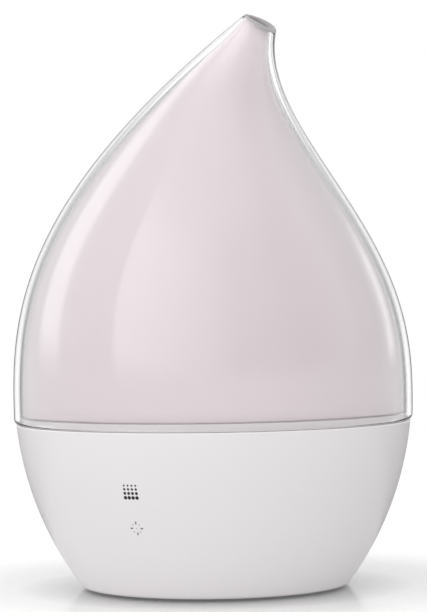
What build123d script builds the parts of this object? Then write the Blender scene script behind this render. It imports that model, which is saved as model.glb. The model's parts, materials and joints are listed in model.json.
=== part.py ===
from build123d import *
import os
from math import cos, hypot, radians, sin, sqrt, tan

# Drop-shaped cool mist humidifier: a bowl-shaped base with the works inside and a lift-off water tank,
# a clear outer shell over a milky liner, that leans over at the tip and ends in an open mist mouth.
# Millimetres, +Z up. The origin is on the floor under the middle of the base.
# The touch keys face -Y, the mist mouth leans towards +X, the cord enters at the rear, +Y.

# Outside of the base
SEAM_HEIGHT = 95.0
BASE_TOP_RADIUS = 113.0
BASE_FOOT_RADIUS = 75.4
BASE_SIDE_ARC = 187.25
BASE_WALL = 2.5
BASE_FOOT_ROUND = 4.0
FOOT_GAP = 1.2
MIST_KEY_BELOW_SEAM = 32.2
KEY_PITCH = 19.7
CORD_HEIGHT = 17.0
CORD_RADIUS = 3.5

# Outside of the tank
TANK_PROUD = 1.4
TANK_HEIGHT = 231.9
WIDEST_ABOVE_SEAM = 15.0
MOUTH_RADIUS = 10.2
DROP_POWER = 2.35
TIP_POWER = 2.55
LEAN_TOP = 35.3
LEAN_BACK = 25.1
TOP_POWER = 4.48
BACK_POWER = 2.37
MOUTH_TILT = 35.0

# Walls of the tank
SHELL_WALL = 3.5
LINER_WALL = 2.0
LIP_WALL = 0.9
LIP_TAPER = 45.0
FLOOR_WALL = 3.0
CHIMNEY_RADIUS = 19.2
CHIMNEY_WALL = 1.6

# Basin, well and float
BASIN_WALL = 2.0
WELL_RADIUS = 24.0
WELL_DEPTH = 20.0
PIEZO_RADIUS = 10.0
FLOAT_RADIUS = 8.0
FLOAT_HEIGHT = 8.0
FLOAT_TRAVEL = 5.5
PORT_WIDTH = 26.0
PORT_DEPTH = 12.0

# Filling cap and water valve
NECK_BORE = 18.0
NECK_WALL = 2.5
CAP_WALL = 2.2
VALVE_LIFT = 4.0
STEM_RADIUS = 2.5
SPRING_WIRE = 0.9

# Electrics and air
FAN_SIZE = 50.0
FAN_DEPTH = 15.0
FAN_BLADES = 7
BOARD_THICK = 1.6
BOARD_LIFT = 7.0
FOOT_RADIUS = 6.5

# Clearances
FIT = 0.3
BEARING_FIT = 0.05
SEAT_GAP = 0.3
PILOT_FIT = 0.05

# Levels, from the floor up
BASE_BOTTOM = FOOT_GAP
COVER_THICK = 2.0
COVER_TOP = BASE_BOTTOM + COVER_THICK
SHELL_FLANGE_TOP = COVER_TOP + BASE_WALL
COLUMN_FOOT = COVER_TOP + 3.0
BOARD_BOTTOM = COVER_TOP + BOARD_LIFT
BOARD_TOP = BOARD_BOTTOM + BOARD_THICK
FAN_BOTTOM = COVER_TOP + 5.0
FAN_TOP = FAN_BOTTOM + FAN_DEPTH
MIST_KEY_HEIGHT = SEAM_HEIGHT - MIST_KEY_BELOW_SEAM
LIGHT_KEY_HEIGHT = MIST_KEY_HEIGHT - KEY_PITCH
BASIN_UNDER = MIST_KEY_HEIGHT + 7.2
BASIN_FLOOR = BASIN_UNDER + BASIN_WALL
RIM_TOP = SEAM_HEIGHT - 3.5
RIM_BOTTOM = RIM_TOP - BASIN_WALL
WELL_FLOOR = BASIN_FLOOR - WELL_DEPTH
WELL_UNDER = WELL_FLOOR - 2.5
SEAT_TOP = RIM_TOP + 1.8
TANK_SEAT = SEAT_TOP + SEAT_GAP
TANK_BOTTOM = SEAM_HEIGHT + SEAT_GAP
LINER_BOTTOM = TANK_BOTTOM + 3.7
PLATE_BOTTOM = LINER_BOTTOM - 2.0
PLATE_TOP = PLATE_BOTTOM + FLOOR_WALL
MOUTH_TOP = SEAM_HEIGHT + TANK_HEIGHT
WIDEST = SEAM_HEIGHT + WIDEST_ABOVE_SEAM
CHIMNEY_TOP = MOUTH_TOP - 17.0
NOZZLE_BOTTOM = PLATE_TOP + 0.66 * (CHIMNEY_TOP - PLATE_TOP)
PUSH_RING_TOP = BASIN_FLOOR + 3.5
STEM_BOTTOM = PUSH_RING_TOP + SEAT_GAP
CAP_BOTTOM = STEM_BOTTOM + 2.2
CAP_FLOOR = CAP_BOTTOM + 2.5
CAP_TOP = PLATE_BOTTOM - 2.0
CHIMNEY_BOTTOM = CAP_BOTTOM + 4.0
NECK_BOTTOM = CAP_FLOOR + 2.5
PORT_TOP = BASIN_FLOOR + 16.0

# Radii that follow from the sizes above
TANK_RADIUS = BASE_TOP_RADIUS + TANK_PROUD
MOUTH_RISE = MOUTH_TOP - WIDEST
MOUTH_SHARE = (1 - (MOUTH_RADIUS / TANK_RADIUS) ** (1 / TIP_POWER)) ** (1 / DROP_POWER)
APEX_RISE = MOUTH_RISE / MOUTH_SHARE
TANK_EDGE_ROUND = SHELL_WALL - 0.3
NECK_RADIUS = NECK_BORE + NECK_WALL
CAP_BORE = NECK_RADIUS + 2.3
CAP_RADIUS = CAP_BORE + CAP_WALL
COVER_RADIUS = BASE_FOOT_RADIUS - 5.7
OPENING_RADIUS = COVER_RADIUS - 4.2
COLUMN_CIRCLE = OPENING_RADIUS - 6.5
COLUMN_ANGLES = (45, 135, 225, 315)
FOOT_CIRCLE = OPENING_RADIUS - 6.0
FOOT_ANGLES = (0, 90, 180, 270)
CLAMP_ANGLES = (90, 210, 330)

LOW = (Align.CENTER, Align.CENTER, Align.MIN)


def disc(radius, bottom, top, x=0.0, y=0.0):
    return Pos(x, y, bottom) * Cylinder(radius, top - bottom, align=LOW)


def ring(outer, inner, bottom, top, x=0.0, y=0.0):
    return disc(outer, bottom, top, x, y) - disc(inner, bottom, top, x, y)


def block(x0, x1, y0, y1, z0, z1):
    middle = Pos((x0 + x1) / 2, (y0 + y1) / 2, (z0 + z1) / 2)
    return middle * Box(x1 - x0, y1 - y0, z1 - z0)


def rod(radius, start, end, x, z):
    """A round bar along +Y."""
    return Pos(x, start, z) * Rot(-90, 0, 0) * Cylinder(radius, end - start, align=LOW)


def on_circle(radius, angles):
    return [(radius * cos(radians(a)), radius * sin(radians(a))) for a in angles]


def screw(x, y, head_bottom, tip, head_radius=2.8, head_height=1.6, shank_radius=1.2):
    """A pan-head screw that points down from its head, or up where the tip is above the head."""
    shank_low, shank_high = sorted((head_bottom, tip))
    head_top = head_bottom + head_height if tip < head_bottom else head_bottom - head_height
    low, high = sorted((head_bottom, head_top))
    return disc(head_radius, low, high, x, y) + disc(shank_radius, shank_low, shank_high, x, y)


def coil(radius, wire, turns, length):
    """A compression spring that stands on z = 0, its wire ends cut square."""
    path = Helix(pitch=(length - wire) / turns, height=length - wire, radius=radius)
    section = Plane(origin=path @ 0, z_dir=path % 0) * Circle(wire / 2)
    return Pos(0, 0, wire / 2) * sweep(section, path=path, is_frenet=True)


# The base is a bowl: a side arc, through the foot and the top edge, turned about the axis.
def side_arc_centre():
    half = hypot(BASE_TOP_RADIUS - BASE_FOOT_RADIUS, SEAM_HEIGHT) / 2
    reach = sqrt(BASE_SIDE_ARC**2 - half**2) / (2 * half)
    x = (BASE_TOP_RADIUS + BASE_FOOT_RADIUS) / 2 - reach * SEAM_HEIGHT
    z = SEAM_HEIGHT / 2 + reach * (BASE_TOP_RADIUS - BASE_FOOT_RADIUS)
    return x, z


def bowl_radius(z, inset=0.0):
    x, middle = side_arc_centre()
    return x + sqrt((BASE_SIDE_ARC - inset) ** 2 - (z - middle) ** 2)


def bowl(inset, bottom, top):
    heights = (bottom, (bottom + top) / 2, top)
    low, middle, high = [(bowl_radius(z, inset), 0, z) for z in heights]
    side = ThreePointArc(low, middle, high)
    flats = Polyline(high, (0, 0, top), (0, 0, bottom), low)
    return revolve(make_face(side.edges() + flats.edges()), Axis.Z)


# Places in the basin: air spout and float keep to its edge, and the filling cap sweeps round inside them
BASIN_INSET = BASE_WALL + 1.5
BASIN_RADIUS = bowl_radius(BASIN_FLOOR, BASIN_INSET + BASIN_WALL)
PORT_WALL = 1.6
PORT_X = PORT_DEPTH / 2 + PORT_WALL + 4.0 - BASIN_RADIUS
FLOAT_Y = BASIN_RADIUS - FLOAT_RADIUS - 3.5
CAP_CIRCLE = BASIN_RADIUS - 4.0 - PORT_DEPTH - 2 * PORT_WALL - CAP_RADIUS - 1.7
LIGHT_X = (WELL_RADIUS + BASIN_WALL + CAP_CIRCLE - 1.5) / 2


# The tank is a drop: round sections whose radius and lean follow two smooth formulas.
def drop_radius(z):
    return TANK_RADIUS * (1 - (abs(z - WIDEST) / APEX_RISE) ** DROP_POWER) ** TIP_POWER


def drop_lean(z):
    rise = max(0.0, z - WIDEST) / MOUTH_RISE
    return (LEAN_TOP + LEAN_BACK) * rise**TOP_POWER - LEAN_BACK * rise**BACK_POWER


def drop_section(z, inset):
    """Middle and radius of the section at z, set in square to the wall by inset."""
    sides = []
    for side in (-1, 1):
        slope = drop_lean(z + 0.5) + side * drop_radius(z + 0.5)
        slope -= drop_lean(z - 0.5) + side * drop_radius(z - 0.5)
        sides.append(drop_lean(z) + side * (drop_radius(z) - inset * sqrt(1 + slope**2)))
    left, right = sides
    return (left + right) / 2, (right - left) / 2


def taper(z, wall):
    """Wall thickness at z, thinning to the lip over the last stretch below the mouth."""
    share = min(1.0, max(0.0, (z - MOUTH_TOP + LIP_TAPER) / LIP_TAPER))
    return wall + (LIP_WALL - wall) * share**2


def shell_inset(z):
    return taper(z, SHELL_WALL)


def liner_outset(z):
    return shell_inset(z) + FIT


def liner_inset(z):
    return liner_outset(z) + taper(z, LINER_WALL)


def drop(inset, bottom, sections=18):
    top = MOUTH_TOP + 3.0
    circles = []
    for i in range(sections):
        z = bottom + (top - bottom) * i / (sections - 1)
        x, radius = drop_section(z, inset(z))
        circles.append(Pos(x, 0, z) * Circle(radius))
    return loft(circles)


def mouth_block():
    """Everything above the slanted plane of the mist mouth."""
    lip = drop_lean(MOUTH_TOP) - drop_radius(MOUTH_TOP)
    return Pos(lip, 0, MOUTH_TOP) * Rot(0, MOUTH_TILT, 0) * Box(120, 80, 60, align=LOW)


def bottom_edge(solid):
    return solid.edges().sort_by(Axis.Z)[0]


def top_edge(solid):
    return solid.edges().sort_by(Axis.Z)[-1]


# Tank
def tank_outer_shell():
    body = drop(lambda z: 0.0, TANK_BOTTOM)
    body = fillet(bottom_edge(body), TANK_EDGE_ROUND)
    return body - drop(shell_inset, TANK_BOTTOM - 1.0) - mouth_block()


def tank_liner():
    body = drop(liner_outset, LINER_BOTTOM) - drop(liner_inset, LINER_BOTTOM - 1.0)
    return body - mouth_block()


RIM_RADIUS = drop_radius(TANK_BOTTOM) - SHELL_WALL - 2 * FIT
LIP_RADIUS = drop_radius(LINER_BOTTOM) - SHELL_WALL - LINER_WALL - 3 * FIT
LUG_ANGLES = (0, 120, 240)
FLANGE_TOP = PLATE_TOP + 2.0


def lugs(outer, inner, bottom, top):
    """Three bayonet lugs, each a short piece of a ring."""
    whole = ring(outer, inner, bottom, top)
    wedge = block(0, 2 * outer, -0.28 * outer, 0.28 * outer, bottom, top)
    return [whole & (Rot(0, 0, angle) * wedge) for angle in LUG_ANGLES]


def tank_floor():
    body = disc(RIM_RADIUS, TANK_BOTTOM + 0.3, LINER_BOTTOM - 0.2)
    body = fillet(bottom_edge(body), 2.4)
    body += disc(LIP_RADIUS, LINER_BOTTOM - 0.2, PLATE_TOP + 5.0)
    body -= disc(LIP_RADIUS - 2.0, PLATE_TOP, PLATE_TOP + 5.0)
    body -= disc(SEAT_BORE + 1.0, TANK_BOTTOM, PLATE_BOTTOM)
    body += ring(SEAT_BORE + 4.0, SEAT_BORE + 1.0, TANK_SEAT, PLATE_BOTTOM)
    body -= disc(CHIMNEY_RADIUS + FIT, PLATE_BOTTOM, PLATE_TOP)
    return body - disc(NECK_RADIUS + FIT, PLATE_BOTTOM, PLATE_TOP, -CAP_CIRCLE)


def filler_neck():
    body = disc(NECK_RADIUS, NECK_BOTTOM, FLANGE_TOP) + disc(NECK_RADIUS + 3.0, PLATE_TOP, FLANGE_TOP)
    body -= disc(NECK_BORE, NECK_BOTTOM, FLANGE_TOP)
    for lug in lugs(NECK_RADIUS + 1.7, NECK_RADIUS - 1.0, NECK_BOTTOM + 3.0, NECK_BOTTOM + 5.0):
        body += lug
    return Pos(-CAP_CIRCLE, 0, 0) * body


# Mist channel: an upright chimney through the tank, with a nozzle that leans over to the mouth
def chimney_section(z, inset):
    top_x, top_radius = drop_section(CHIMNEY_TOP, liner_inset(CHIMNEY_TOP) + FIT)
    share = (z - PLATE_TOP) / (CHIMNEY_TOP - PLATE_TOP)
    radius = CHIMNEY_RADIUS + (top_radius - CHIMNEY_RADIUS) * share - inset
    return Pos(top_x * share**3, 0, z) * Circle(radius)


def chimney_wall(bottom, top):
    levels = [bottom + (top - bottom) * i / 5 for i in range(6)]
    outer, inner = [loft([chimney_section(z, inset) for z in levels]) for inset in (0.0, CHIMNEY_WALL)]
    return outer - inner


def mist_chimney():
    body = disc(CHIMNEY_RADIUS, CHIMNEY_BOTTOM, PLATE_TOP)
    body += disc(CHIMNEY_RADIUS + 4.0, PLATE_TOP, FLANGE_TOP)
    body -= disc(CHIMNEY_RADIUS - CHIMNEY_WALL, CHIMNEY_BOTTOM, FLANGE_TOP)
    return body + chimney_wall(PLATE_TOP, NOZZLE_BOTTOM)


def mist_nozzle():
    return chimney_wall(NOZZLE_BOTTOM, CHIMNEY_TOP)


def fill_cap():
    body = disc(CAP_RADIUS, CAP_BOTTOM, CAP_TOP) - disc(CAP_BORE, CAP_FLOOR, CAP_TOP)
    for x, y in on_circle(CAP_RADIUS, range(0, 360, 20)):
        body += disc(1.1, CAP_BOTTOM + 2.0, CAP_TOP - 2.0, x * 0.985, y * 0.985)
    body -= disc(STEM_RADIUS + 3.5, CAP_BOTTOM, CAP_FLOOR)
    for lug in lugs(CAP_BORE + 0.8, NECK_RADIUS + 0.5, NECK_BOTTOM + 5.0 + FIT, NECK_BOTTOM + 7.3):
        body += lug
    return Pos(-CAP_CIRCLE, 0, 0) * body


def cap_gasket():
    return ring(CAP_BORE - 0.2, NECK_BORE - 0.5, CAP_FLOOR, NECK_BOTTOM - 0.2, -CAP_CIRCLE)


CAGE_TOP = CAP_FLOOR + 17.5
CAGE_PLATE = CAGE_TOP - 2.0
SEAL_BOTTOM = CAP_FLOOR + VALVE_LIFT
SEAL_TOP = SEAL_BOTTOM + 1.5
STEM_TOP = CAGE_TOP + VALVE_LIFT + 1.0


def valve_cage():
    foot = ring(14.5, 11.5, CAP_FLOOR, CAP_FLOOR + 2.0)
    plate = disc(14.5, CAGE_PLATE, CAGE_TOP) - disc(STEM_RADIUS + 0.2, CAGE_PLATE, CAGE_TOP)
    body = foot + plate
    for x, y in on_circle(13.0, (0, 120, 240)):
        body += disc(1.2, CAP_FLOOR + 1.0, CAGE_TOP - 1.0, x, y)
    for x, y in on_circle(8.0, (60, 180, 300)):
        body -= disc(2.5, CAGE_PLATE, CAGE_TOP, x, y)
    return Pos(-CAP_CIRCLE, 0, 0) * body


def valve_stem():
    body = disc(STEM_RADIUS, STEM_BOTTOM, STEM_TOP) + disc(9.0, SEAL_TOP, SEAL_TOP + 1.5)
    body += ring(STEM_RADIUS + 1.2, STEM_RADIUS - 0.5, SEAL_TOP + 1.5, SEAL_TOP + 3.0)
    return Pos(-CAP_CIRCLE, 0, 0) * fillet(bottom_edge(body), 1.0)


def valve_seal():
    return ring(9.5, STEM_RADIUS + BEARING_FIT, SEAL_BOTTOM, SEAL_TOP, -CAP_CIRCLE)


def valve_spring():
    spring = coil(STEM_RADIUS + 2.5, SPRING_WIRE, 4, CAGE_PLATE - SEAL_TOP - 1.5 - 0.1)
    return Pos(-CAP_CIRCLE, 0, SEAL_TOP + 1.55) * spring


# Seat of the tank
SEAT_BORE = bowl_radius(RIM_BOTTOM, BASIN_INSET + BASIN_WALL) - 1.6
RIM_OUTER = bowl_radius(RIM_BOTTOM, BASE_WALL) - 0.4


def seat_ring():
    body = ring(RIM_OUTER - 0.3, SEAT_BORE, RIM_TOP, SEAT_TOP)
    return body + ring(SEAT_BORE + 1.2, SEAT_BORE, RIM_BOTTOM, RIM_TOP)


# Touch keys: two marks on the front of the base, with a tilted board behind them
KEY_GAP = 5.5
BOARD_WIDTH = 26.0


def key_plane():
    """Plane on the inner wall half-way between the keys: x across the front, y up the wall."""
    upper = bowl_radius(MIST_KEY_HEIGHT, BASE_WALL)
    lower = bowl_radius(LIGHT_KEY_HEIGHT, BASE_WALL)
    rise = MIST_KEY_HEIGHT - LIGHT_KEY_HEIGHT
    middle = (0, -(upper + lower) / 2, (MIST_KEY_HEIGHT + LIGHT_KEY_HEIGHT) / 2)
    return Plane(origin=middle, x_dir=(1, 0, 0), z_dir=(0, -rise, -(upper - lower)))


def key_spacing():
    upper = bowl_radius(MIST_KEY_HEIGHT, BASE_WALL)
    lower = bowl_radius(LIGHT_KEY_HEIGHT, BASE_WALL)
    return hypot(upper - lower, MIST_KEY_HEIGHT - LIGHT_KEY_HEIGHT)


POST_X = (-9.0, 9.0)
POST_REACH = 4.0


def touch_post(x):
    return Pos(x, 0, -KEY_GAP) * Cylinder(2.6, KEY_GAP + POST_REACH, align=LOW)


# Cord gland and rear vents
GLAND_FACE = bowl_radius(CORD_HEIGHT - 9.0) - 1.0
GLAND_BACK = GLAND_FACE - 3.5
GLAND_HALF = CORD_RADIUS + 2.0
VENT_ANGLES = [90 + 4.2 * step for step in range(-5, 6)]
VENT_BOTTOM = 0.33 * SEAM_HEIGHT
VENT_TOP = 0.54 * SEAM_HEIGHT


def base_shell():
    body = bowl(0.0, BASE_BOTTOM, SEAM_HEIGHT)
    body = fillet(bottom_edge(body), BASE_FOOT_ROUND)
    body = fillet(top_edge(body), 0.7)
    body -= bowl(BASE_WALL, SHELL_FLANGE_TOP, SEAM_HEIGHT + 1.0)
    body -= disc(COVER_RADIUS + FIT, BASE_BOTTOM, COVER_TOP)
    body -= disc(OPENING_RADIUS, COVER_TOP, SHELL_FLANGE_TOP)
    ledge = bowl(BASE_WALL / 2, RIM_BOTTOM - 2.0, RIM_BOTTOM)
    body += ledge - disc(bowl_radius(RIM_BOTTOM, BASIN_INSET) + FIT, RIM_BOTTOM - 2.0, RIM_BOTTOM)
    core = bowl(BASE_WALL / 2, BASE_BOTTOM + BASE_FOOT_ROUND, RIM_BOTTOM)
    side, top = GLAND_HALF + 5.5, CORD_HEIGHT + GLAND_HALF + 5.5
    body += block(-side, side, GLAND_BACK, BASE_TOP_RADIUS, BASE_BOTTOM, top) & core
    recess = block(2 - side, side - 2, GLAND_FACE, BASE_TOP_RADIUS, BASE_BOTTOM, top - 2)
    body -= fillet(recess.edges().filter_by(Axis.Y).sort_by(Axis.Z)[-2:], 4.0)
    slot_top = CORD_HEIGHT + GLAND_HALF
    body -= block(-GLAND_HALF, GLAND_HALF, GLAND_BACK, BASE_TOP_RADIUS, BASE_BOTTOM, slot_top)
    body -= block(-GLAND_HALF, GLAND_HALF, GLAND_BACK - 6, GLAND_BACK, SHELL_FLANGE_TOP, slot_top)
    for x in POST_X:
        body += (key_plane() * touch_post(x)) & core
        body -= key_plane() * Pos(x, 0, -KEY_GAP) * Cylinder(1.2 + PILOT_FIT, KEY_GAP, align=LOW)
    for angle in VENT_ANGLES:
        slot = block(BASE_FOOT_RADIUS, BASE_TOP_RADIUS, -1.25, 1.25, VENT_BOTTOM, VENT_TOP)
        body -= Rot(0, 0, angle) * slot
    return body


def cord_gland():
    """A strain relief slid up into the slot of the shell from below."""
    neck = GLAND_HALF - 0.2
    body = block(-neck, neck, GLAND_BACK, GLAND_FACE, SHELL_FLANGE_TOP + 0.5, CORD_HEIGHT + neck)
    body = body & bowl(FIT, BASE_BOTTOM, SEAM_HEIGHT)
    plate = neck + 2.5
    low, high = CORD_HEIGHT - plate, CORD_HEIGHT + plate
    outer = block(-plate, plate, GLAND_FACE, GLAND_FACE + 1.5, low, high)
    body += fillet(outer.edges().filter_by(Axis.Y), 2.5)
    body += block(-plate, plate, GLAND_BACK - 2.0, GLAND_BACK, low, high)
    body += rod(CORD_RADIUS + 1.4, GLAND_FACE + 1.5, GLAND_FACE + 4.5, 0, CORD_HEIGHT)
    return body - rod(CORD_RADIUS, GLAND_BACK - 2.0, GLAND_FACE + 4.5, 0, CORD_HEIGHT)


# Basin
FLOAT_POST = 3.0
FLOAT_POST_BORE = FLOAT_POST - 1.2
FLOAT_TOP = BASIN_FLOOR + FIT + FLOAT_HEIGHT
STOP_BOTTOM = FLOAT_TOP + FLOAT_TRAVEL + FIT
PIEZO_SEAL_HEIGHT = 3.6
CLAMP_TOP = WELL_UNDER - PIEZO_SEAL_HEIGHT
CLAMP_CIRCLE = PIEZO_RADIUS + 7.0
LIGHT_POST_DROP = 6.4
LIGHT_POSTS = [(LIGHT_X, -9.75), (LIGHT_X, 9.75)]


def air_port(wall, bottom, top):
    outline = Ellipse(PORT_DEPTH / 2 + wall, PORT_WIDTH / 2 + wall)
    return Pos(PORT_X, 0, bottom) * extrude(outline, top - bottom)


def water_basin():
    body = bowl(BASIN_INSET, BASIN_UNDER, RIM_TOP) + disc(RIM_OUTER, RIM_BOTTOM, RIM_TOP)
    body -= bowl(BASIN_INSET + BASIN_WALL, BASIN_FLOOR, RIM_TOP + 1.0)
    push_ring = ring(CAP_CIRCLE + 1.5, CAP_CIRCLE - 1.5, BASIN_FLOOR, PUSH_RING_TOP)
    for angle in range(0, 180, 45):
        push_ring -= Rot(0, 0, angle + 22.5) * block(-90, 90, -4, 4, BASIN_FLOOR, PUSH_RING_TOP - 1.5)
    body += push_ring
    body -= disc(WELL_RADIUS, BASIN_UNDER, BASIN_FLOOR)
    body -= disc(FLOAT_POST_BORE, BASIN_UNDER, BASIN_FLOOR, 0, FLOAT_Y)
    body -= air_port(0.0, BASIN_UNDER, BASIN_FLOOR)
    body -= disc(6.2, BASIN_UNDER, BASIN_FLOOR, LIGHT_X)
    body -= disc(8.0, BASIN_FLOOR - 1.0, BASIN_FLOOR, LIGHT_X)
    for x, y in LIGHT_POSTS:
        body += disc(2.2, BASIN_UNDER - LIGHT_POST_DROP, BASIN_UNDER, x, y)
        body -= disc(1.0 + PILOT_FIT, BASIN_UNDER - LIGHT_POST_DROP, BASIN_UNDER - 0.5, x, y)
    return body


def basin_posts():
    post = disc(4.5, COLUMN_FOOT, BASIN_UNDER) - disc(1.5 + PILOT_FIT, COLUMN_FOOT, COLUMN_FOOT + 16.0)
    return [Pos(x, y, 0) * post for x, y in on_circle(COLUMN_CIRCLE, COLUMN_ANGLES)]


def air_spout():
    return air_port(PORT_WALL, BASIN_FLOOR, PORT_TOP) - air_port(0.0, BASIN_FLOOR, PORT_TOP)


def mist_well():
    body = disc(WELL_RADIUS + BASIN_WALL, WELL_UNDER, BASIN_UNDER)
    body -= disc(WELL_RADIUS, WELL_FLOOR, BASIN_UNDER)
    body -= disc(PIEZO_RADIUS - 1.0, WELL_UNDER, WELL_FLOOR)
    for x, y in on_circle(CLAMP_CIRCLE, CLAMP_ANGLES):
        body += disc(3.0, CLAMP_TOP, WELL_UNDER, x, y)
        body -= disc(1.2 + PILOT_FIT, CLAMP_TOP, WELL_UNDER + 1.0, x, y)
    return body


def float_post():
    body = disc(FLOAT_POST, BASIN_FLOOR, STOP_BOTTOM + 2.0, 0, FLOAT_Y)
    return body - disc(FLOAT_POST_BORE, BASIN_FLOOR, STOP_BOTTOM - 1.5, 0, FLOAT_Y)


def float_body():
    body = ring(FLOAT_RADIUS, FLOAT_POST + 0.5, FLOAT_TOP - FLOAT_HEIGHT, FLOAT_TOP, 0, FLOAT_Y)
    return body - ring(6.6, 4.6, FLOAT_TOP - FLOAT_HEIGHT, FLOAT_TOP - FLOAT_HEIGHT + 4.0, 0, FLOAT_Y)


def float_magnet():
    low = FLOAT_TOP - FLOAT_HEIGHT + 0.5
    return ring(6.5, 4.7, low, low + 3.4, 0, FLOAT_Y)


def float_stop():
    return ring(FLOAT_RADIUS - 1.5, FLOAT_POST + BEARING_FIT, STOP_BOTTOM, STOP_BOTTOM + 2.0, 0, FLOAT_Y)


def reed_switch():
    body = disc(1.3, BASIN_UNDER + 1.0, BASIN_UNDER + 12.0, 0, FLOAT_Y)
    return body + disc(0.4, BASIN_UNDER - 6.0, BASIN_UNDER + 1.0, 0, FLOAT_Y)


# Piezo disc under the well
def transducer_seal():
    body = ring(PIEZO_RADIUS + 3.0, PIEZO_RADIUS - 1.6, CLAMP_TOP, WELL_UNDER)
    return body - disc(PIEZO_RADIUS + 0.1, CLAMP_TOP + 1.1, CLAMP_TOP + 2.5)


def transducer_disc():
    return disc(PIEZO_RADIUS, CLAMP_TOP + 1.2, CLAMP_TOP + 2.4)


def transducer_clamp():
    body = ring(CLAMP_CIRCLE + 4.0, PIEZO_RADIUS - 3.0, CLAMP_TOP - 2.0, CLAMP_TOP)
    for x, y in on_circle(CLAMP_CIRCLE, CLAMP_ANGLES):
        body -= disc(1.5, CLAMP_TOP - 2.0, CLAMP_TOP, x, y)
    return body


def transducer_screws():
    under = CLAMP_TOP - 2.0
    return [screw(x, y, under, WELL_UNDER) for x, y in on_circle(CLAMP_CIRCLE, CLAMP_ANGLES)]


# Night light under the basin floor
def light_window():
    flange = disc(7.8, BASIN_FLOOR - 1.0, BASIN_FLOOR, LIGHT_X)
    return flange + disc(6.0, BASIN_UNDER - 1.5, BASIN_FLOOR - 1.0, LIGHT_X)


def light_board():
    top = BASIN_UNDER - LIGHT_POST_DROP
    board = block(LIGHT_X - 7, LIGHT_X + 7, -13, 13, top - BOARD_THICK, top)
    for x, y in LIGHT_POSTS:
        board -= disc(1.2, top - BOARD_THICK, top, x, y)
    lamp = block(-1.4, 1.4, -1.4, 1.4, top, top + 1.2)
    return [board] + [Pos(LIGHT_X + x, 0, 0) * lamp for x in (-2.5, 2.5)]


def light_screws():
    under = BASIN_UNDER - LIGHT_POST_DROP - BOARD_THICK
    return [screw(x, y, under, under + 6.0, 2.0, 1.3, 1.0) for x, y in LIGHT_POSTS]


# Underside
FAN_PITCH = 0.8 * FAN_SIZE
FAN_X = FAN_PITCH / 2 - sqrt((OPENING_RADIUS - 3.5) ** 2 - (FAN_PITCH / 2) ** 2)
FAN_HOLES = [(FAN_X + x * FAN_PITCH, y * FAN_PITCH) for x in (-0.5, 0.5) for y in (-0.5, 0.5)]
BOARD_SIDE = COLUMN_CIRCLE * cos(radians(45)) - 7.7
DRIVER = (OPENING_RADIUS - 57.5, OPENING_RADIUS - 9.5, -BOARD_SIDE, 38.0 - BOARD_SIDE)
FAN_CLEAR = 5.0
SUPPLY = (BOARD_SIDE - 50.0, BOARD_SIDE, FAN_SIZE / 2 + FAN_CLEAR, OPENING_RADIUS - 7.5)


def board_holes(area):
    x0, x1, y0, y1 = area
    return [(x, y) for x in (x0 + 4, x1 - 4) for y in (y0 + 4, y1 - 4)]


BOARD_HOLES = board_holes(DRIVER) + board_holes(SUPPLY)


def bottom_cover():
    body = disc(COVER_RADIUS, BASE_BOTTOM, COVER_TOP)
    for x, y in on_circle(COLUMN_CIRCLE, COLUMN_ANGLES):
        body += disc(4.8, COVER_TOP, COLUMN_FOOT, x, y)
        body -= disc(3.4, BASE_BOTTOM, COLUMN_FOOT - 2.0, x, y)
        body -= disc(1.7, COLUMN_FOOT - 2.0, COLUMN_FOOT, x, y)
    for x, y in on_circle(FOOT_CIRCLE, FOOT_ANGLES):
        body -= disc(FOOT_RADIUS + 0.1, BASE_BOTTOM, BASE_BOTTOM + 0.8, x, y)
    for x, y in FAN_HOLES:
        body += disc(3.0, COVER_TOP, FAN_BOTTOM, x, y)
        body -= disc(1.2 + PILOT_FIT, COVER_TOP, FAN_BOTTOM, x, y)
    for x, y in BOARD_HOLES:
        body += disc(2.8, COVER_TOP, BOARD_BOTTOM, x, y)
        body -= disc(1.2 + PILOT_FIT, COVER_TOP, BOARD_BOTTOM, x, y)
    return body


def bottom_screws():
    head = COLUMN_FOOT - 2.0
    places = on_circle(COLUMN_CIRCLE, COLUMN_ANGLES)
    return [screw(x, y, head, head + 14.0, 3.0, 2.2, 1.5) for x, y in places]


def rubber_feet():
    places = on_circle(FOOT_CIRCLE, FOOT_ANGLES)
    return [disc(FOOT_RADIUS, 0, BASE_BOTTOM + 0.8, x, y) for x, y in places]


# Fan
FAN_BORE = FAN_SIZE / 2 - 1.5
HUB_RADIUS = 12.5
SHAFT_RADIUS = 1.5


def fan_frame():
    half = FAN_SIZE / 2
    body = block(FAN_X - half, FAN_X + half, -half, half, FAN_BOTTOM, FAN_TOP)
    body -= disc(FAN_BORE, FAN_BOTTOM, FAN_TOP, FAN_X)
    for angle in (45, 135):
        spoke = Box(2 * FAN_BORE + 2, 3, 2.5, align=LOW)
        body += Pos(FAN_X, 0, FAN_BOTTOM) * Rot(0, 0, angle) * spoke
    body += disc(HUB_RADIUS, FAN_BOTTOM, FAN_BOTTOM + 2.5, FAN_X)
    body += disc(3.0, FAN_BOTTOM + 2.5, FAN_BOTTOM + 9.5, FAN_X)
    body -= disc(SHAFT_RADIUS + BEARING_FIT, FAN_BOTTOM + 2.0, FAN_BOTTOM + 9.5, FAN_X)
    for x, y in FAN_HOLES:
        body -= disc(1.6, FAN_BOTTOM, FAN_TOP, x, y)
    return body


def fan_stator():
    low, high = FAN_BOTTOM + 3.5, FAN_BOTTOM + 9.5
    body = ring(6.0, 3.1, low, high, FAN_X)
    for angle in range(0, 360, 60):
        pole = block(5.0, 8.5, -1.4, 1.4, low + 1.0, high - 1.0)
        shoe = block(8.0, 9.6, -3.2, 3.2, low, high)
        body += Pos(FAN_X, 0, 0) * Rot(0, 0, angle) * (pole + shoe)
    return body


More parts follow.
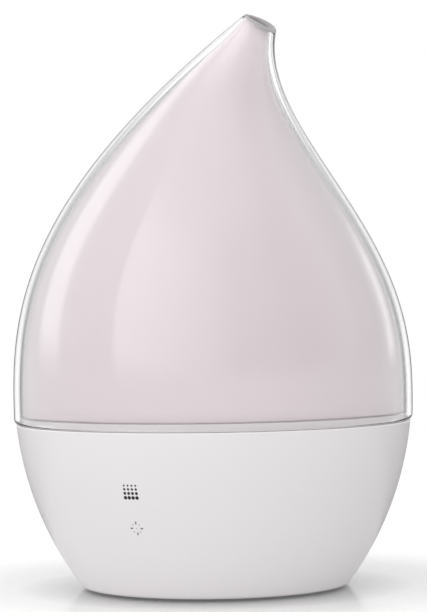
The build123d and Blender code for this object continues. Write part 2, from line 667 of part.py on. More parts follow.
def fan_impeller():
    low, high = FAN_BOTTOM + 3.2, FAN_BOTTOM + 12.8
    body = disc(HUB_RADIUS, low, high) - disc(HUB_RADIUS - 1.6, low, high - 1.6)
    for step in range(FAN_BLADES):
        blade = Pos(HUB_RADIUS + 4.5, 0, (low + high) / 2) * Rot(38, 0, 0) * Box(12, 1.4, 10.5)
        body += Rot(0, 0, 360 * step / FAN_BLADES) * blade
    body = body & disc(FAN_BORE - 0.8, low, high)
    body -= disc(HUB_RADIUS - 1.6, low, high - 1.6)
    body += disc(SHAFT_RADIUS, FAN_BOTTOM + 2.5, high - 1.6)
    return Pos(FAN_X, 0, 0) * body


def fan_screws():
    return [screw(x, y, FAN_TOP, FAN_TOP - FAN_DEPTH - 4.5) for x, y in FAN_HOLES]


def air_duct():
    foot = FAN_BORE
    walls = []
    for wall in (1.4, 0.0):
        low = Pos(FAN_X, 0, FAN_TOP) * Circle(foot + wall)
        high = Pos(PORT_X, 0, BASIN_UNDER) * Ellipse(PORT_DEPTH / 2 + wall, PORT_WIDTH / 2 + wall)
        walls.append(loft([low, high], ruled=True))
    outer, inner = walls
    body = outer - inner
    for x, y in FAN_HOLES:
        body -= disc(3.2, FAN_TOP, FAN_TOP + 2.2, x, y)
    return body


# Boards
def board(area):
    x0, x1, y0, y1 = area
    body = block(x0, x1, y0, y1, BOARD_BOTTOM, BOARD_TOP)
    for x, y in board_holes(area):
        body -= disc(1.5, BOARD_BOTTOM, BOARD_TOP, x, y)
    return body


def driver_board():
    return board(DRIVER)


def driver_parts():
    x0, x1, y0, y1 = DRIVER
    coil_body = ring(6.0, 2.5, BOARD_TOP, BOARD_TOP + 9.0, x0 + 11, y0 + 14)
    cans = [disc(3.2, BOARD_TOP, BOARD_TOP + 9.0, x0 + 9 + 8 * i, y1 - 8) for i in range(2)]
    plugs = [block(x0 + 11, x0 + 19, y0 + 1.5, y0 + 6.5, BOARD_TOP, BOARD_TOP + 6)]
    plugs.append(block(x1 - 22, x1 - 10, y0 + 1.5, y0 + 6.5, BOARD_TOP, BOARD_TOP + 6))
    chip = block(x0 + 17.5, x0 + 23.5, y0 + 11, y0 + 18, BOARD_TOP, BOARD_TOP + 1.6)
    return [coil_body, chip] + cans + plugs


SINK_TOP = BOARD_TOP + 20.0


def heat_sink():
    x0, x1, y0, y1 = DRIVER
    left, right = x1 - 20, x1 - 8
    low, high = BOARD_TOP, SINK_TOP
    body = block(left, left + 2.5, y0 + 9, y1 - 8, low, high)
    for i in range(6):
        y = y0 + 9 + i * (y1 - y0 - 17 - 1.4) / 5
        body += block(left, right, y, y + 1.4, low, high)
    return body


def power_transistor():
    x0, x1, y0, y1 = DRIVER
    middle = (y0 + y1) / 2
    body = block(x1 - 24.5, x1 - 20.1, middle - 5, middle + 5, BOARD_TOP + 4, SINK_TOP - 1.0)
    for y in (-2.5, 0, 2.5):
        body += block(x1 - 22.7, x1 - 21.9, middle + y - 0.4, middle + y + 0.4, BOARD_TOP, BOARD_TOP + 4)
    return body


def supply_board():
    return board(SUPPLY)


def supply_parts():
    x0, x1, y0, y1 = SUPPLY
    middle = (y0 + y1) / 2
    transformer = block(x0 + 20, x0 + 38, y0 + 5, y1 - 5, BOARD_TOP, BOARD_TOP + 16)
    small_can = disc(4.0, BOARD_TOP, BOARD_TOP + 13, x1 - 7, middle)
    large_can = disc(5.0, BOARD_TOP, BOARD_TOP + 15, x0 + 12, middle - 3)
    fuse = block(x0 + 9, x0 + 18, y1 - 8, y1 - 4, BOARD_TOP, BOARD_TOP + 5)
    return [transformer, fuse, small_can, large_can]


def board_screws():
    return [screw(x, y, BOARD_TOP, BOARD_BOTTOM - 6.5) for x, y in BOARD_HOLES]


def touch_board():
    reach = key_spacing() / 2
    above, below = 3.5, 10.0
    plate = Box(BOARD_WIDTH, 2 * reach + above + below, BOARD_THICK)
    plate = Pos(0, (above - below) / 2, -KEY_GAP - BOARD_THICK / 2) * plate
    for x in POST_X:
        plate -= Pos(x, 0, -KEY_GAP - BOARD_THICK) * Cylinder(1.4, BOARD_THICK, align=LOW)
    chip = Pos(0, -3, -KEY_GAP - BOARD_THICK - 0.8) * Box(7, 5, 1.6)
    return [key_plane() * plate, key_plane() * chip]


def touch_springs():
    reach = key_spacing() / 2
    spring = coil(2.6, 0.6, 4, KEY_GAP - 0.8)
    return [key_plane() * Pos(0, y, -KEY_GAP + 0.05) * spring for y in (-reach, reach)]


def touch_screws():
    back = -KEY_GAP - BOARD_THICK
    pin = disc(2.3, back - 1.4, back) + disc(1.2, back, -0.6)
    return [key_plane() * Pos(x, 0, 0) * pin for x in POST_X]


# Leads between the boards, each ending just short of what it is soldered or plugged to
LEAD_RADIUS = 0.8
TOUCH_GAP = 0.1
SINK_CLEAR = 6.1
PLUG_TOP = BOARD_TOP + 6.0 + TOUCH_GAP
PLUG_Y = DRIVER[2] + 4.0


def lead(*points):
    """A round lead through these points, its arcs as large as the shorter run beside each allows."""
    corners = [Vector(*p) for p in points]
    runs = [b - a for a, b in zip(corners, corners[1:])]
    bends = []
    for before, after in zip(runs, runs[1:]):
        half_turn = radians(before.get_angle(after)) / 2
        bends.append(0.45 * min(before.length, after.length) / tan(half_turn))
    path = FilletPolyline(*points, radius=bends)
    return sweep(Plane(origin=path @ 0, z_dir=path % 0) * Circle(LEAD_RADIUS), path=path)


def transducer_lead():
    x, level = DRIVER[0] + 15, CLAMP_TOP - 12
    start = (0, 0, CLAMP_TOP + 1.2 - TOUCH_GAP)
    return lead(start, (0, 0, level), (x, PLUG_Y, level), (x, PLUG_Y, PLUG_TOP))


def fan_lead():
    x, level, side = DRIVER[0] + 12.5, BOARD_TOP + 14, FAN_X + FAN_SIZE / 2
    start, bend = (side + TOUCH_GAP, -15, FAN_TOP - 7), (side + 9, -15, FAN_TOP - 7)
    return lead(start, bend, (side + 9, PLUG_Y, level), (x, PLUG_Y, level), (x, PLUG_Y, PLUG_TOP))


def touch_lead():
    x, level = DRIVER[0] + 17.5, BOARD_TOP + 18
    back = -KEY_GAP - BOARD_THICK
    low = -key_spacing() / 2 - 4
    start = tuple(key_plane().from_local_coords((8, low, back - TOUCH_GAP)))
    bend = tuple(key_plane().from_local_coords((8, low, back - 9)))
    return lead(start, bend, (x, PLUG_Y - 10, level), (x, PLUG_Y, level), (x, PLUG_Y, PLUG_TOP))


def light_lead():
    x, level = DRIVER[1] - 20, SINK_TOP + SINK_CLEAR
    top = BASIN_UNDER - LIGHT_POST_DROP - BOARD_THICK - TOUCH_GAP
    return lead((x, -4, top), (x, -4, level), (x, PLUG_Y, level), (x, PLUG_Y, PLUG_TOP))


def supply_lead():
    level, low = BOARD_TOP + 13, BOARD_TOP + TOUCH_GAP
    start_x, start_y = SUPPLY[1] - 14, SUPPLY[2] + 2.5
    end_x, end_y = DRIVER[0] + 22, DRIVER[3] - 4
    start, rise = (start_x, start_y, low), (start_x, start_y, level)
    return lead(start, rise, (end_x, end_y, level), (end_x, end_y, low))


NODES = {
    "tank_outer_shell": tank_outer_shell,
    "tank_liner": tank_liner,
    "tank_floor": tank_floor,
    "filler_neck": filler_neck,
    "mist_chimney": mist_chimney,
    "mist_nozzle": mist_nozzle,
    "fill_cap": fill_cap,
    "cap_gasket": cap_gasket,
    "valve_cage": valve_cage,
    "valve_stem": valve_stem,
    "valve_seal": valve_seal,
    "valve_spring": valve_spring,
    "seat_ring": seat_ring,
    "base_shell": base_shell,
    "cord_gland": cord_gland,
    "water_basin": water_basin,
    "basin_posts": basin_posts,
    "air_spout": air_spout,
    "mist_well": mist_well,
    "float_post": float_post,
    "float_body": float_body,
    "float_magnet": float_magnet,
    "float_stop": float_stop,
    "reed_switch": reed_switch,
    "transducer_seal": transducer_seal,
    "transducer_disc": transducer_disc,
    "transducer_clamp": transducer_clamp,
    "transducer_screws": transducer_screws,
    "light_window": light_window,
    "light_board": light_board,
    "light_screws": light_screws,
    "bottom_cover": bottom_cover,
    "bottom_screws": bottom_screws,
    "rubber_feet": rubber_feet,
    "fan_frame": fan_frame,
    "fan_stator": fan_stator,
    "fan_impeller": fan_impeller,
    "fan_screws": fan_screws,
    "air_duct": air_duct,
    "driver_board": driver_board,
    "driver_parts": driver_parts,
    "heat_sink": heat_sink,
    "power_transistor": power_transistor,
    "supply_board": supply_board,
    "supply_parts": supply_parts,
    "board_screws": board_screws,
    "touch_board": touch_board,
    "touch_springs": touch_springs,
    "touch_screws": touch_screws,
    "transducer_lead": transducer_lead,
    "fan_lead": fan_lead,
    "touch_lead": touch_lead,
    "light_lead": light_lead,
    "supply_lead": supply_lead,
}

os.makedirs("parts", exist_ok=True)
for name, make in NODES.items():
    made = make()
    solids = made if isinstance(made, list) else [made]
    shape = Compound(children=solids) if len(solids) > 1 else solids[0]
    export_step(shape, f"parts/{name}.step")
    print(name, len(shape.solids()), round(shape.volume))
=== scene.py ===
# %% [markdown]
# # A drop-shaped cool mist humidifier
# The real thing is a white bowl that holds the works, with a water tank standing on it. The tank has two
# walls: a clear outer shell and, a hair's breadth inside it, a milky pink liner. The exact solids come from
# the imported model. This lesson dresses them: it remakes the large smooth walls as fine meshes, gives every piece
# a finish, prints the touch marks, and lights the scene like the studio picture.

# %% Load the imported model
import bpy
import json
import math
import numpy as np
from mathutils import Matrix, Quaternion, Vector


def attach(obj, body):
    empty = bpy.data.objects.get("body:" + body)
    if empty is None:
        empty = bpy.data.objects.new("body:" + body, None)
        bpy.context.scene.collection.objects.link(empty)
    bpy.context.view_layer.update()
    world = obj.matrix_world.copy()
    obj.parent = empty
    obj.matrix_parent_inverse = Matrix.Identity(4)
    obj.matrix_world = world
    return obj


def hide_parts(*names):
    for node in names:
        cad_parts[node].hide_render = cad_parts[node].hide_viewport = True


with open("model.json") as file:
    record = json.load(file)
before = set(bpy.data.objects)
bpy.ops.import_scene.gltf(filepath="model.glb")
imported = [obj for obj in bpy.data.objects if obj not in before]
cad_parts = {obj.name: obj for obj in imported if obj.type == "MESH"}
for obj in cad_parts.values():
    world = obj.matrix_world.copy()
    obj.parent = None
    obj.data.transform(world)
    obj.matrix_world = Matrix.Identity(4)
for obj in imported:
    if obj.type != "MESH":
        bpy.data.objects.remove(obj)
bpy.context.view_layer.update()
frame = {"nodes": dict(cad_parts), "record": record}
nodes = frame["nodes"]
scene = bpy.context.scene
scene.view_settings.view_transform = "Standard"
MM = 0.001

# %% [markdown]
# ## The outline of the tank
# The tank is round at every height, but its middle wanders: it leans back a little on the way up and then
# bends over to the mouth. Two short formulas give the radius and the lean, so the walls can be as fine as we
# like. A wall that lies deeper is the same outline moved in square to the surface.

# %% Drop outline
SEAM = 95.0 * MM
WIDEST = SEAM + 15.0 * MM
MOUTH_TOP = SEAM + 231.9 * MM
TANK_RADIUS, MOUTH_RADIUS = 114.4 * MM, 10.2 * MM
DROP_POWER, TIP_POWER = 2.35, 2.55
MOUTH_RISE = MOUTH_TOP - WIDEST
APEX_RISE = MOUTH_RISE / (1 - (MOUTH_RADIUS / TANK_RADIUS) ** (1 / TIP_POWER)) ** (1 / DROP_POWER)
LEAN_TOP, LEAN_BACK = 35.3 * MM, 25.1 * MM
TOP_POWER, BACK_POWER = 4.48, 2.37
MOUTH_SLOPE = math.tan(math.radians(35.0))


def drop_radius(z):
    return TANK_RADIUS * (1 - (np.abs(z - WIDEST) / APEX_RISE) ** DROP_POWER) ** TIP_POWER


def drop_lean(z):
    rise = np.maximum(0.0, z - WIDEST) / MOUTH_RISE
    return (LEAN_TOP + LEAN_BACK) * rise**TOP_POWER - LEAN_BACK * rise**BACK_POWER


def drop_section(z, inset):
    """Middle and radius of the section at z, set in square to the wall by inset."""
    step = 0.5 * MM
    edges = []
    for side in (-1, 1):
        above = drop_lean(z + step) + side * drop_radius(z + step)
        below = drop_lean(z - step) + side * drop_radius(z - step)
        slope = (above - below) / (2 * step)
        edges.append(drop_lean(z) + side * (drop_radius(z) - inset * np.sqrt(1 + slope**2)))
    return (edges[0] + edges[1]) / 2, (edges[1] - edges[0]) / 2


print("tank radius at the seam", round(float(drop_radius(SEAM)) * 1000, 1), "mm")

# %% [markdown]
# The tank has three layers: the clear shell, a thin smoky skin that is the translucent outside of the liner, and
# the milky body of the liner. All thin out towards the mouth: `share` runs from 0 well below it to 1 at its top,
# and a high power of it keeps the shell thick until close to the lip. Each depth is measured from the outside of
# the shell.

# %% Wall thickness
LIP_TAPER = 45.0 * MM
SHELL_WALL, SKIN_WALL, LINER_WALL = (3.5 * MM, 0.4 * MM), (0.25 * MM, 0.03 * MM), (0.9 * MM, 0.6 * MM)
SKIN_GAP, LINER_GAP = 0.1 * MM, (1.35 * MM, 0.1 * MM)


def taper(z, wall, power=8):
    """Thickness at the height z: the first number of wall below, the second at the mouth."""
    thick, lip = wall
    share = np.clip((z - MOUTH_TOP + LIP_TAPER) / LIP_TAPER, 0.0, 1.0)
    return thick + (lip - thick) * share**power


def shell_outside(z):
    return 0.0 * z


def shell_inside(z):
    return taper(z, SHELL_WALL)


def skin_outside(z):
    return shell_inside(z) + SKIN_GAP


def skin_inside(z):
    return skin_outside(z) + taper(z, SKIN_WALL, power=1)


def liner_outside(z):
    return skin_inside(z) + taper(z, LINER_GAP, power=1)


def liner_inside(z):
    return liner_outside(z) + taper(z, LINER_WALL)


print("shell wall at the lip", round(float(shell_inside(MOUTH_TOP)) * 1000, 2), "mm")

# %% [markdown]
# ## Meshes from rings
# Every large wall here is a stack of rings. Each ring has the same number of points, so the quads line up and
# smooth shading has nothing to trip over. The last ring joins the first, which closes the wall into a solid.

# %% Ring helpers
AROUND = 192
MOUTH_SEARCH, HALVINGS = (-40.0 * MM, 3.0 * MM), 40
ANGLES = np.linspace(0.0, 2 * math.pi, AROUND, endpoint=False)


def mesh_from_rings(name, rings):
    """A closed solid from rings that go up the outside and back down the inside."""
    points = np.concatenate(rings)
    count = len(rings)
    faces = []
    for i in range(count):
        low, high = i * AROUND, (i + 1) % count * AROUND
        for k in range(AROUND):
            n = (k + 1) % AROUND
            faces.append((low + k, low + n, high + n, high + k))
    mesh = bpy.data.meshes.new(name)
    mesh.from_pydata([tuple(p) for p in points], [], faces)
    mesh.shade_smooth()
    made = bpy.data.objects.new(name, mesh)
    scene.collection.objects.link(made)
    return made


def drop_ring(z, inset):
    """One ring on the drop: z may differ round the ring, as it does at the slanted mouth."""
    z = np.broadcast_to(z, ANGLES.shape)
    middle, radius = drop_section(z, inset(z))
    return np.column_stack((middle + radius * np.cos(ANGLES), radius * np.sin(ANGLES), z))


def mouth_heights(inset):
    """Where each upright line of the wall meets the slanted plane of the mouth, by halving."""
    lip_x = drop_lean(MOUTH_TOP) - drop_radius(MOUTH_TOP)
    low, high = (np.full(AROUND, MOUTH_TOP + reach) for reach in MOUTH_SEARCH)
    for _ in range(HALVINGS):
        middle = (low + high) / 2
        over = middle - MOUTH_TOP + MOUTH_SLOPE * (drop_ring(middle, inset)[:, 0] - lip_x) > 0
        high = np.where(over, middle, high)
        low = np.where(over, low, middle)
    return low


mouth = mouth_heights(shell_outside) * 1000
print("mouth rim from", round(mouth.min(), 1), "to", round(mouth.max(), 1), "mm above the floor")

# %% [markdown]
# ## The tank walls
# A wall is its outside rings, a thin rounded lip at the mouth, its inside rings, and a foot whose outer corner is
# rounded. Turning an outline with a Screw modifier would be simpler, but the drop leans and its mouth is slanted,
# so the rings are placed one by one.

# %% Rings of a tank wall
UPRIGHT, LIP_STEPS, FOOT_STEPS = 96, 5, 8


def lip_rings(outer, inner):
    """A half-round lip between the top rings of the two sides of a wall."""
    up = Vector((MOUTH_SLOPE, 0, 1)).normalized()
    rings = []
    for step in range(1, LIP_STEPS):
        turn = math.pi * step / LIP_STEPS
        width = np.linalg.norm(outer - inner, axis=1)[:, None]
        flat = outer + (inner - outer) * (1 - math.cos(turn)) / 2
        rings.append(flat + 0.5 * width * math.sin(turn) * np.array(up))
    return rings


def foot_rings(bottom, outset, inset, rounding, rise):
    """Rings under the wall, from its inside to the top of its rounded outer foot, rise high and rounding deep."""
    outer = drop_section(bottom + rise, outset(bottom + rise))[1] - rounding
    inner = drop_section(bottom, inset(bottom))[1]
    rings = []
    for share in (0.25, 0.75):
        radius = inner + (outer - inner) * share
        rings.append(np.column_stack((radius * np.cos(ANGLES), radius * np.sin(ANGLES), 0 * ANGLES + bottom)))
    for turn in np.linspace(0.0, math.pi / 2, FOOT_STEPS, endpoint=False):
        radius = outer + rounding * math.sin(turn)
        z = bottom + rise * (1 - math.cos(turn))
        rings.append(np.column_stack((radius * np.cos(ANGLES), radius * np.sin(ANGLES), 0 * ANGLES + z)))
    return rings


def tank_wall(name, outset, inset, bottom, rounding, rise):
    """A wall between the depths outset and inset, from the height bottom up to the mouth."""
    shares = np.linspace(0.0, 1.0, UPRIGHT)
    start = bottom + rise
    outside = [drop_ring(start + (mouth_heights(outset) - start) * s, outset) for s in shares]
    inside = [drop_ring(bottom + (mouth_heights(inset) - bottom) * s, inset) for s in shares[::-1]]
    rings = outside + lip_rings(outside[-1], inside[0]) + inside
    return mesh_from_rings(name, rings + foot_rings(bottom, outset, inset, rounding, rise))


# %% [markdown]
# The clear shell stands on the base, with a rounded corner that is the bright curl just above the seam. The liner
# and its skin end a little higher, and the gap below them shows as a thin grey line.

# %% Shell, liner and skin
SHELL_FOOT, LINER_FOOT = SEAM + 0.08 * MM, SEAM + 4.7 * MM
SHELL_CURL, LINER_CURL, SKIN_CURL = (2.9 * MM, 3.2 * MM), (0.6 * MM, 1.2 * MM), (0.1 * MM, 0.1 * MM)
clear_shell = tank_wall("clear_shell", shell_outside, shell_inside, SHELL_FOOT, *SHELL_CURL)
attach(clear_shell, "tank")
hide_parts("tank_outer_shell")
milky_liner = tank_wall("milky_liner", liner_outside, liner_inside, LINER_FOOT, *LINER_CURL)
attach(milky_liner, "tank")
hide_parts("tank_liner")
liner_skin = tank_wall("liner_skin", skin_outside, skin_inside, LINER_FOOT, *SKIN_CURL)
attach(liner_skin, "tank")
print("walls", len(clear_shell.data.polygons), len(milky_liner.data.polygons), "faces")

# %% [markdown]
# Below the liner, the edge of the tank floor shows through the foot of the shell as a pale band. A thin sleeve
# round the floor closes the view into the seam. Its top slopes up behind the skin, so that the grey line above it
# is soft and not black.

# %% Sleeve round the tank floor
SLEEVE_TOP, SLEEVE_BOTTOM = SEAM + 4.0 * MM, SEAM + 0.2 * MM
SLEEVE_CHAMFER, SLEEVE_WALL, SLEEVE_RINGS = 1.0 * MM, 0.6 * MM, 6


def sleeve_inside(z):
    return skin_outside(z) + SLEEVE_WALL


heights = np.linspace(SLEEVE_BOTTOM, SLEEVE_TOP, SLEEVE_RINGS)
rings = [drop_ring(z, skin_outside) for z in heights]
rings += [drop_ring(z, sleeve_inside) for z in [SLEEVE_TOP + SLEEVE_CHAMFER, *heights[::-1]]]
floor_sleeve = mesh_from_rings("floor_sleeve", rings)
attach(floor_sleeve, "tank")
print("sleeve", len(floor_sleeve.data.polygons), "faces")

# %% [markdown]
# ## Plastic finishes
# Moulded plastic is never one flat colour: it has a faint cloudiness and a gloss that varies a little from
# place to place. One function makes them all, with noise in object space so nothing slides when a piece moves.

# %% Plastic
GLOSS_SPREAD = 0.15


def new_material(name):
    material = bpy.data.materials.new(name)
    material.use_nodes = True
    return material, material.node_tree.nodes, material.node_tree.links


def plastic(name, colour, roughness, cloud=0.02, cloud_scale=9.0, grain=0.0, grain_scale=900.0, **sockets):
    """A moulded plastic: colour is linear RGB, cloud its share of colour change, grain the bump strength."""
    material, tree, links = new_material(name)
    shader = tree["Principled BSDF"]
    place = tree.new("ShaderNodeTexCoord")
    noise = tree.new("ShaderNodeTexNoise")
    noise.inputs["Scale"].default_value = cloud_scale
    links.new(place.outputs["Object"], noise.inputs["Vector"])
    tint = tree.new("ShaderNodeMix")
    tint.data_type = "RGBA"
    tint.inputs["A"].default_value = (*[c * (1 - cloud) for c in colour], 1)
    tint.inputs["B"].default_value = (*[min(1.0, c * (1 + cloud)) for c in colour], 1)
    links.new(noise.outputs["Fac"], tint.inputs["Factor"])
    links.new(tint.outputs["Result"], shader.inputs["Base Color"])
    gloss = tree.new("ShaderNodeMapRange")
    gloss.inputs["To Min"].default_value = roughness * (1 - GLOSS_SPREAD)
    gloss.inputs["To Max"].default_value = roughness * (1 + GLOSS_SPREAD)
    links.new(noise.outputs["Fac"], gloss.inputs["Value"])
    links.new(gloss.outputs["Result"], shader.inputs["Roughness"])
    if grain:
        fine = tree.new("ShaderNodeTexNoise")
        fine.inputs["Scale"].default_value = grain_scale
        links.new(place.outputs["Object"], fine.inputs["Vector"])
        bump = tree.new("ShaderNodeBump")
        bump.inputs["Strength"].default_value = grain
        bump.inputs["Distance"].default_value = 0.1 * MM
        links.new(fine.outputs["Fac"], bump.inputs["Height"])
        links.new(bump.outputs["Normal"], shader.inputs["Normal"])
    for socket, value in sockets.items():
        shader.inputs[socket].default_value = value
    return material


# %% [markdown]
# ## Clear acrylic
# The outer shell is real refracting plastic. Light can't be followed straight through a bending surface, so for
# shadow rays and diffuse rays it is plainly see-through: the liner is then lit without speckle.

# %% Clear shell
def clear_acrylic(name, tint, bending=1.49):
    """A clear plastic of this tint and refractive index."""
    material, tree, links = new_material(name)
    shader = tree["Principled BSDF"]
    shader.inputs["Base Color"].default_value = (*tint, 1)
    shader.inputs["Transmission Weight"].default_value = 1.0
    shader.inputs["IOR"].default_value = bending
    shader.inputs["Roughness"].default_value = 0.0
    through = tree.new("ShaderNodeBsdfTransparent")
    rays = tree.new("ShaderNodeLightPath")
    mix = tree.new("ShaderNodeMixShader")
    either = tree.new("ShaderNodeMath")
    either.operation = "MAXIMUM"
    links.new(rays.outputs["Is Shadow Ray"], either.inputs[0])
    links.new(rays.outputs["Is Diffuse Ray"], either.inputs[1])
    links.new(either.outputs["Value"], mix.inputs["Fac"])
    links.new(shader.outputs["BSDF"], mix.inputs[1])
    links.new(through.outputs["BSDF"], mix.inputs[2])
    links.new(mix.outputs["Shader"], tree["Material Output"].inputs["Surface"])
    return material


def wear(piece, material):
    piece.data.materials.clear()
    piece.data.materials.append(material)


wear(clear_shell, clear_acrylic("clear_acrylic", (0.99, 0.985, 0.985)))
print("the shell wears", clear_shell.data.materials[0].name)

# %% [markdown]
# A clear wall guides light along its inside, so polished ends would look dark. The picture shows a pale foot and a
# grey lip, so both are taken to be matt, and those strips of faces get finishes of their own; the grey of the lip
# is painted shade. A strip is found by its ring numbers, which run up the outside, over the lip, down the inside
# and along the foot.

# %% Matt ends of the shell
def wear_strips(wall, first, last, material):
    """Give the strips of faces between the rings first and last their own material."""
    wall.data.materials.append(material)
    number = len(wall.data.materials) - 1
    for strip in range(first, last):
        for face in range(strip * AROUND, (strip + 1) * AROUND):
            wall.data.polygons[face].material_index = number


LIP_START, INSIDE_START = UPRIGHT - 1, UPRIGHT + LIP_STEPS - 1
FOOT_START = INSIDE_START + UPRIGHT - 1
FOOT_STRIPS = 6
# The lip's grey colour is painted shade.
lip_painted_shade = plastic("lip_painted_shade", (0.4, 0.39, 0.39), 0.4, cloud=0.02)
frosted_foot = plastic("frosted_foot", (0.92, 0.915, 0.915), 0.5, cloud=0.02)
wear_strips(clear_shell, LIP_START, INSIDE_START, lip_painted_shade)
wear_strips(clear_shell, FOOT_START, FOOT_START + FOOT_STRIPS, frosted_foot)
print("finishes on the shell", [m.name for m in clear_shell.data.materials])

# %% [markdown]
# The liner and the tank floor below it are the same pale pink. The edge of the floor lies deeper in the seam, so
# less light comes back from it, and that shade is painted into its colour, which is a little greyer.

# %% Pale pink
PINK = (0.785, 0.70, 0.727)
pink_plain = plastic("milky_pink", PINK, 0.1, cloud=0.01)
# The sleeve's greyer colour is painted shade.
wear(floor_sleeve, plastic("floor_edge_painted_shade", (0.62, 0.585, 0.6), 0.3, cloud=0.01))
print("pale pink", PINK)

# %% [markdown]
# The skin swallows a little light on the way through. Seen square on it is so thin that nothing shows; along the
# edge of the tank the view runs through a long stretch of it, and that draws the soft grey line inside the clear
# rim. It doesn't bend light, since the liner below is what it belongs to.

# %% Smoky skin
SKIN_DENSITY = 300.0
smoky_skin = clear_acrylic("smoky_skin", (1, 1, 1), bending=1.0)
absorb = smoky_skin.node_tree.nodes.new("ShaderNodeVolumeAbsorption")
absorb.inputs["Color"].default_value = (0.10, 0.08, 0.09, 1)
absorb.inputs["Density"].default_value = SKIN_DENSITY
skin_output = smoky_skin.node_tree.nodes["Material Output"]
smoky_skin.node_tree.links.new(absorb.outputs["Volume"], skin_output.inputs["Volume"])
wear(liner_skin, smoky_skin)
print("skin density", SKIN_DENSITY)

# %% [markdown]
# The tank floor stands up inside the liner, and through the milky wall its shade would show as a very slightly
# darker band along the bottom. That band is painted shade: a second copy of the pink finish darkens below that
# height, measured in the liner's own space.

# %% Liner with painted shade at its foot
def paint_shade_below(material, z, share, blur):
    """Multiply the base colour by share below the height z, over a soft step of the given blur."""
    tree, links = material.node_tree.nodes, material.node_tree.links
    shader = tree["Principled BSDF"]
    before = shader.inputs["Base Color"].links[0].from_socket
    split = tree.new("ShaderNodeSeparateXYZ")
    links.new(tree.new("ShaderNodeTexCoord").outputs["Object"], split.inputs["Vector"])
    step = tree.new("ShaderNodeMapRange")
    step.interpolation_type = "SMOOTHSTEP"
    step.inputs["From Min"].default_value = z - blur
    step.inputs["From Max"].default_value = z + blur
    step.inputs["To Min"].default_value = share
    links.new(split.outputs["Z"], step.inputs["Value"])
    scale = tree.new("ShaderNodeVectorMath")
    scale.operation = "SCALE"
    links.new(before, scale.inputs["Vector"])
    links.new(step.outputs["Result"], scale.inputs["Scale"])
    links.new(scale.outputs["Vector"], shader.inputs["Base Color"])
    return material


FLOOR_LIP, FLOOR_PAINTED_SHADE, FLOOR_BLUR = SEAM + 10.0 * MM, 0.965, 0.8 * MM
# The darker band at the liner's foot is painted shade.
pink_liner = paint_shade_below(plastic("milky_pink_wall_painted_shade", PINK, 0.1, cloud=0.01), FLOOR_LIP, FLOOR_PAINTED_SHADE, FLOOR_BLUR)
wear(milky_liner, pink_liner)
print("liner darker below", round(FLOOR_LIP * 1000, 1), "mm")

# %% [markdown]
# Inside the mouth the liner isn't polished, and little light comes out of it. Its lip and the strips just below get
# a matt grey that is painted shade, so that the mouth reads as an opening.

# %% Inside of the mouth
MOUTH_STRIPS = 16
# Painted shade: a grey colour on the inside of the mouth.
mouth_painted_shade = plastic("mouth_painted_shade", (0.42, 0.40, 0.41), 0.5, cloud=0.03)
wear_strips(milky_liner, LIP_START, INSIDE_START + MOUTH_STRIPS, mouth_painted_shade)
print("finishes on the liner", [m.name for m in milky_liner.data.materials])

# %% [markdown]
# ## Every other piece
# The remaining nodes keep their CAD shapes. A table pairs each of the record's material slots with a finish.

# %% Finishes by slot
WHITE = (0.795, 0.77, 0.778)
finishes = {
    "pink_liner_floor": pink_plain,
    "white_gloss": plastic("white_gloss", WHITE, 0.2, cloud=0.008),
    "white_matte": plastic("white_matte", WHITE, 0.45, grain=0.15),
    "silicone": plastic("pale_silicone", (0.62, 0.62, 0.61), 0.5, grain=0.1),
    "grey_rubber": plastic("grey_rubber", (0.3, 0.3, 0.31), 0.7, cloud=0.06, grain=0.4),
    "spring_steel": plastic("spring_steel", (0.55, 0.55, 0.56), 0.3, cloud=0.05, Metallic=1.0),
    "float_foam": plastic("float_foam", (0.6, 0.7, 0.78), 0.6, cloud=0.05, grain=0.5),
    "magnet": plastic("ferrite", (0.03, 0.03, 0.032), 0.5, cloud=0.1, grain=0.3),
    "reed_glass": clear_acrylic("reed_glass", (0.85, 0.93, 0.9)),
    "piezo_metal": plastic("piezo_metal", (0.6, 0.58, 0.54), 0.28, cloud=0.05, Metallic=1.0),
    "clear_window": clear_acrylic("window_plastic", (0.95, 0.96, 0.97)),
    "board_green": plastic("board_green", (0.015, 0.11, 0.04), 0.4, cloud=0.1, grain=0.2),
    "board_parts": plastic("board_parts", (0.02, 0.02, 0.023), 0.5, cloud=0.1, grain=0.2),
    "heat_sink_alloy": plastic("heat_sink_alloy", (0.6, 0.61, 0.62), 0.35, cloud=0.05, Metallic=1.0),
    "black_plastic": plastic("black_plastic", (0.008, 0.008, 0.009), 0.5, cloud=0.1, grain=0.2),
    "copper_coil": plastic("copper_coil", (0.55, 0.2, 0.08), 0.35, cloud=0.1, Metallic=1.0),
    "lead_sheath": plastic("lead_sheath", (0.5, 0.015, 0.01), 0.45, cloud=0.08),
}
SHARP_ANGLE = math.radians(28)
slot_of = {row["node"]: row["material_slot"] for row in frame["record"]["subparts"]}
for name, node in nodes.items():
    if slot_of[name] in finishes:
        wear(node, finishes[slot_of[name]])
        node.data.shade_smooth()
        node.data.set_sharp_from_angle(angle=SHARP_ANGLE)
print("finished", len(nodes), "nodes")

# %% [markdown]
# ## Touch marks
# The base has no buttons: two printed marks show where a finger is felt through the wall. A block of dots that
# grow downwards stands for the mist, and a small sun for the night light. Each dot or ray is a thin patch of ink
# laid on the bowl, so every one of its corners is dropped onto the base by a ray from the front.

# %% Ink on the bowl
INK_LIFT, FROM_FRONT, END_STEPS = 0.04 * MM, 0.2, 7


def on_bowl(x, z):
    """The point of the base's front that lies behind (x, z), lifted by the thickness of the ink."""
    start = Vector((x, -FROM_FRONT, z))
    _, place, normal, _ = nodes["base_shell"].ray_cast(start, Vector((0, 1, 0)))
    return place + normal * INK_LIFT


